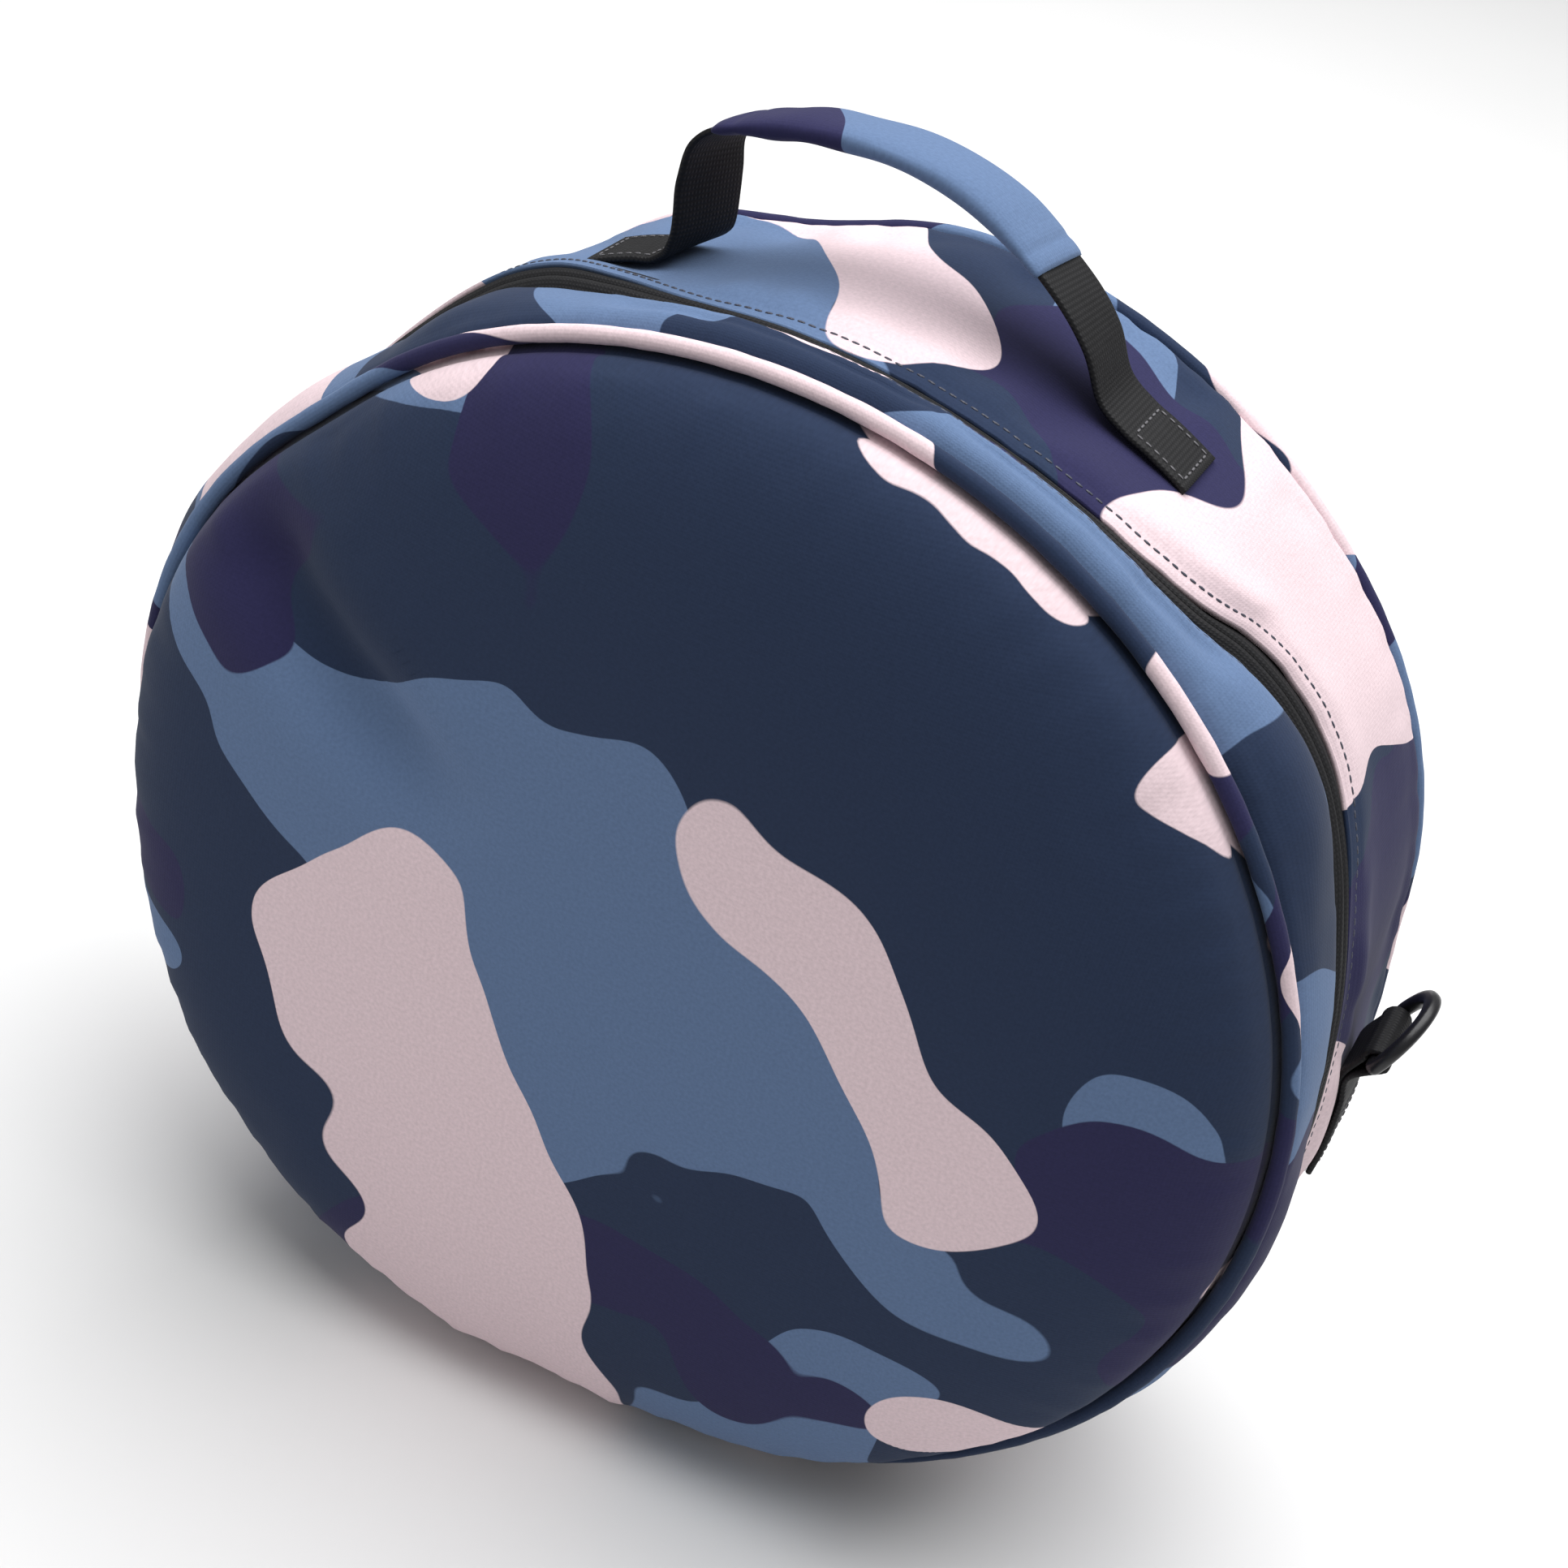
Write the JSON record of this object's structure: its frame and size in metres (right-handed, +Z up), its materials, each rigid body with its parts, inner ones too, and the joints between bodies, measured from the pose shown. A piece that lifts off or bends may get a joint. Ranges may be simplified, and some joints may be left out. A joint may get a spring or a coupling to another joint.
{
  "type": "scuba regulator bag",
  "caption": "Round padded cloth bag for a diving regulator, standing on its edge, with a domed piped front, a zip round its side, a webbing carry handle and side D-rings.",
  "frame": {"origin": "on the floor, under the middle of the part's box", "axes": "+Z up through the handle, the front panel faces -Y, +X to the right as seen from the front"},
  "size_m": [0.3944, 0.1646, 0.3987],
  "materials": {
    "camouflage_cloth": "matt woven polyester with a printed camouflage in pale pink, steel blue, navy and purple",
    "black_webbing": "flat woven webbing, slight sheen",
    "zip_tape": "matt woven tape",
    "black_plastic": "moulded, satin to glossy"
  },
  "bodies": {
    "bag": {"front_panel": "camouflage_cloth", "front_piping": "camouflage_cloth", "front_band": "camouflage_cloth", "hinge_panel": "camouflage_cloth", "rear_gusset": "camouflage_cloth", "rear_piping": "camouflage_cloth", "back_panel": "camouflage_cloth", "handle_grip": "camouflage_cloth", "handle_webbing": "black_webbing", "ring_tab_right": "black_webbing", "ring_tab_left": "black_webbing", "zip_tape_front": "zip_tape", "zip_tape_rear": "zip_tape", "zip_coil": "black_plastic", "zip_slider": "black_plastic"},
    "ring_right": {"d_ring_right": "black_plastic"},
    "ring_left": {"d_ring_left": "black_plastic"}
  },
  "joints": [
    {"name": "ring_right_swing", "type": "hinge", "parent": "bag", "child": "ring_right", "pos_m": [0.187, 0.0243, 0.1945], "axis": [0, 1, 0], "range_deg": [-35, 110]},
    {"name": "ring_left_swing", "type": "hinge", "parent": "bag", "child": "ring_left", "pos_m": [-0.187, 0.0243, 0.1945], "axis": [0, -1, 0], "range_deg": [-35, 110]}
  ]
}
